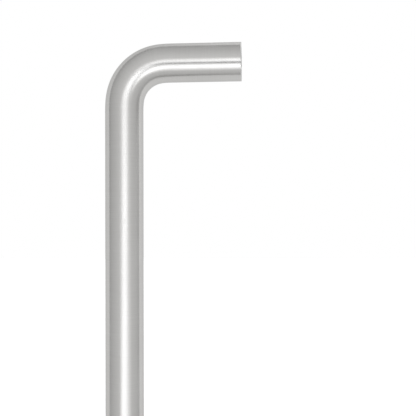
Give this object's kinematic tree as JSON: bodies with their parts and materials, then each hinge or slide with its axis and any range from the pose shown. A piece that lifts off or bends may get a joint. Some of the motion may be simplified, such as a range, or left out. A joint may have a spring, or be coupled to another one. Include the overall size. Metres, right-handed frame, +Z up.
{
  "type": "d pull handle",
  "caption": "D-shaped door pull handle bent from one round stainless bar, with quarter bends and a tapped blind hole in the end of each leg.",
  "frame": {"origin": "on the door face, midway between the two tapped fixing holes", "axes": "+Y into the door, so the grip stands out along -Y; +Z up along the grip; +X across the door to the right of someone facing the handle"},
  "size_m": [0.019, 0.068, 0.319],
  "materials": {
    "satin_stainless": "fine satin, bare metal with no lacquer"
  },
  "bodies": {
    "root": {"pull_handle": "satin_stainless"}
  },
  "joints": []
}
